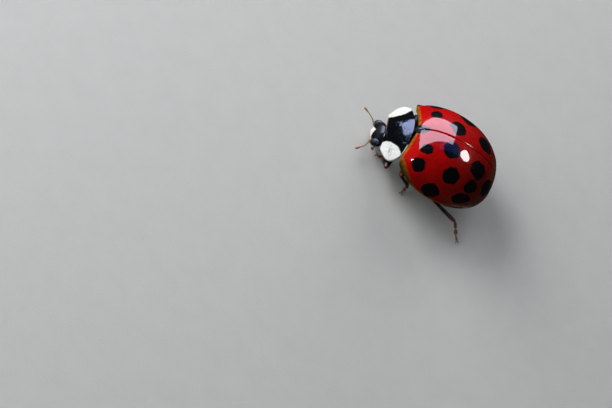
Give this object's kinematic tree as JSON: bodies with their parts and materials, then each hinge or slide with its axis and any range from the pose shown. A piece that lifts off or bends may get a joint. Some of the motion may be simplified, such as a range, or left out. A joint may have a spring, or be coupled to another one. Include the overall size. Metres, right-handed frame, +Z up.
{
  "type": "ladybird beetle, still life-size model",
  "caption": "Life-size standing harlequin ladybird with red black-spotted wing cases, cream-sided pronotum, clubbed feelers and jointed legs.",
  "frame": {"origin": "on the ground, under the middle of the whole body with its legs and feelers", "axes": "+X from head to tail, +Y to the right side of the insect, +Z up; its left side is -Y"},
  "size_m": [0.0082, 0.007, 0.0036],
  "materials": {
    "wing_case": "glossy red cuticle with black spots and an amber rim",
    "pronotum": "glossy black cuticle with cream side patches",
    "head": "glossy black cuticle with a cream forehead",
    "eye": "dark faceted eye",
    "pale_cuticle": "cream cuticle",
    "mandible": "brown horn",
    "feeler": "amber brown cuticle",
    "leg": "dark brown cuticle with fine hairs",
    "foot": "reddish brown cuticle with pale claws",
    "underside": "dark cuticle, browner towards the sides"
  },
  "bodies": {
    "root": {"head": "head", "labrum": "pale_cuticle", "eye_l": "eye", "mandible_l": "mandible", "palp_l": "feeler", "antenna_l_scape": "feeler", "antenna_l_funicle": "feeler", "antenna_l_club": "feeler", "eye_r": "eye", "mandible_r": "mandible", "palp_r": "feeler", "antenna_r_scape": "feeler", "antenna_r_funicle": "feeler", "antenna_r_club": "feeler", "pronotum": "pronotum", "prosternum": "underside", "scutellum": "underside", "elytron_l": "wing_case", "elytron_r": "wing_case", "mesosternum": "underside", "metasternum": "underside", "abdomen_1": "underside", "abdomen_2": "underside", "abdomen_3": "underside", "abdomen_4": "underside", "abdomen_5": "underside", "abdomen_6": "underside", "front_l_coxa": "leg", "front_l_femur": "leg", "front_l_tibia": "leg", "front_l_tarsus": "foot", "mid_l_coxa": "leg", "mid_l_femur": "leg", "mid_l_tibia": "leg", "mid_l_tarsus": "foot", "hind_l_coxa": "leg", "hind_l_femur": "leg", "hind_l_tibia": "leg", "hind_l_tarsus": "foot", "front_r_coxa": "leg", "front_r_femur": "leg", "front_r_tibia": "leg", "front_r_tarsus": "foot", "mid_r_coxa": "leg", "mid_r_femur": "leg", "mid_r_tibia": "leg", "mid_r_tarsus": "foot", "hind_r_coxa": "leg", "hind_r_femur": "leg", "hind_r_tibia": "leg", "hind_r_tarsus": "foot"}
  },
  "joints": []
}
